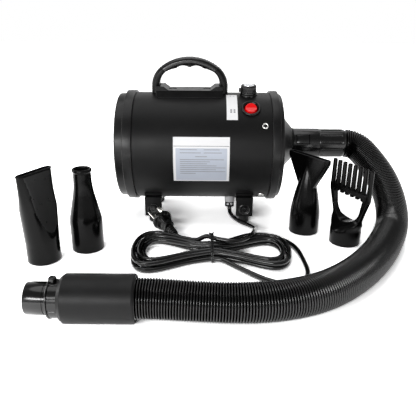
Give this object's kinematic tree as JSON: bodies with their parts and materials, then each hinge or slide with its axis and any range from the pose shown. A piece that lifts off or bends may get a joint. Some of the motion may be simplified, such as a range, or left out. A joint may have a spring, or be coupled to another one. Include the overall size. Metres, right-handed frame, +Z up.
{
  "type": "pet dryer",
  "caption": "Barrel-shaped pet hair dryer with carrying handle, dial and rocker switch, ribbed hose on the floor, loose nozzles and a tied mains lead.",
  "frame": {"origin": "on the floor, at the middle of the floor space of everything but the hose and the mains lead", "axes": "+X along the barrel towards its outlet, +Y towards the back, +Z up"},
  "size_m": [0.5698, 0.4594, 0.2655],
  "materials": {
    "black_paint": "matt",
    "cap_black": "satin",
    "handle_black": "satin",
    "grip_black": "fine texture",
    "hose_black": "semi-gloss",
    "nozzle_black": "semi-gloss",
    "sleeve_black": "satin",
    "knob_black": "satin",
    "knob_silver": "spun",
    "rocker_red": "gloss",
    "foot_rubber": "matt",
    "cord_black": "satin",
    "plug_black": "satin",
    "pin_metal": "polished",
    "screw_steel": "plain",
    "washer_nickel": "satin",
    "label_white": "satin",
    "gland_grey": "satin",
    "motor_steel": "plain",
    "motor_alloy": "cast",
    "copper": "enamelled wire",
    "board_green": "satin",
    "mica": "matt",
    "foam_grey": "open foam",
    "inner_rubber": "matt"
  },
  "bodies": {
    "casing": {"barrel_shell": "black_paint", "intake_cap": "cap_black", "intake_grille": "cap_black", "filter_pad": "foam_grey", "intake_foam": "foam_grey", "outlet_cap": "cap_black", "outlet_neck": "cap_black", "handle_base": "handle_black", "handle_legs": "handle_black", "handle_grip": "grip_black", "rating_plate": "label_white", "scale_label": "label_white", "case_screws": "screw_steel", "cup_washers": "washer_nickel", "knob_collar": "knob_black", "potentiometer": "motor_alloy", "switch_housing": "knob_black", "speed_board": "board_green", "foot_brackets": "black_paint", "rubber_feet": "foot_rubber", "foot_bolts": "screw_steel", "front_mount": "inner_rubber", "rear_mount": "inner_rubber", "fan_case": "motor_steel", "motor_frame": "motor_alloy", "stator_core": "motor_steel", "field_windings": "copper", "motor_bearings": "screw_steel", "brush_holders": "copper", "heater_frame": "mica", "heater_rings": "screw_steel", "cable_gland": "gland_grey", "gland_clamp": "knob_black", "gland_screws": "screw_steel", "lead_start": "cord_black", "lead_hank": "cord_black", "lead_end": "cord_black", "hank_tie": "cord_black", "plug_relief": "plug_black", "plug_body": "plug_black", "plug_pins": "pin_metal"},
    "rotor": {"motor_shaft": "screw_steel", "armature": "copper", "impellers": "motor_alloy"},
    "knob": {"speed_knob": "knob_black", "knob_cap": "knob_silver", "knob_shaft": "screw_steel"},
    "rocker": {"switch_rocker": "rocker_red"},
    "hose_set": {"hose_connector": "hose_black", "hose_cuff": "hose_black", "hose": "hose_black", "grip_sleeve": "sleeve_black", "tip_collar": "hose_black", "hose_tip": "hose_black"},
    "lock_tab": {"lock_tab": "hose_black"},
    "latch": {"latch_button": "hose_black"},
    "flat_nozzle": {"flat_nozzle": "nozzle_black"},
    "round_nozzle": {"round_nozzle": "nozzle_black"},
    "fan_nozzle": {"fan_nozzle": "nozzle_black"},
    "comb_nozzle": {"comb_nozzle": "nozzle_black"}
  },
  "joints": [
    {"name": "rotor_spin", "type": "hinge", "parent": "casing", "child": "rotor", "pos_m": [0.0009, 0.1387, 0.1205], "axis": [1, 0, 0], "continuous": true},
    {"name": "speed_turn", "type": "hinge", "parent": "casing", "child": "knob", "pos_m": [0.0746, 0.12617, 0.20962], "axis": [0, -0.1392, 0.9903], "range_deg": [-270, 0]},
    {"name": "rocker_tilt", "type": "hinge", "parent": "casing", "child": "rocker", "pos_m": [0.0766, 0.08815, 0.19008], "axis": [1, 0, 0], "range_deg": [-14, 0]},
    {"name": "hose_pull", "type": "slide", "parent": "casing", "child": "hose_set", "axis": [1, 0, 0], "range_m": [0, 0.03]},
    {"name": "lock_tab_lift", "type": "hinge", "parent": "hose_set", "child": "lock_tab", "pos_m": [0.1769, 0.1182, 0.1364], "axis": [0, 0.4695, 0.8829], "range_deg": [0, 6], "stiffness_Nm_per_rad": 0.8},
    {"name": "latch_press", "type": "slide", "parent": "hose_set", "child": "latch", "axis": [0, 0, -1], "range_m": [0, 0.0018], "stiffness_N_per_m": 600},
    {"name": "flat_nozzle_lift", "type": "slide", "parent": "casing", "child": "flat_nozzle", "axis": [0, 0, 1], "range_m": [0, 0.15]},
    {"name": "round_nozzle_lift", "type": "slide", "parent": "casing", "child": "round_nozzle", "axis": [0, 0, 1], "range_m": [0, 0.15]},
    {"name": "fan_nozzle_lift", "type": "slide", "parent": "casing", "child": "fan_nozzle", "axis": [0, 0, 1], "range_m": [0, 0.15]},
    {"name": "comb_nozzle_lift", "type": "slide", "parent": "casing", "child": "comb_nozzle", "axis": [0, 0, 1], "range_m": [0, 0.15]}
  ]
}
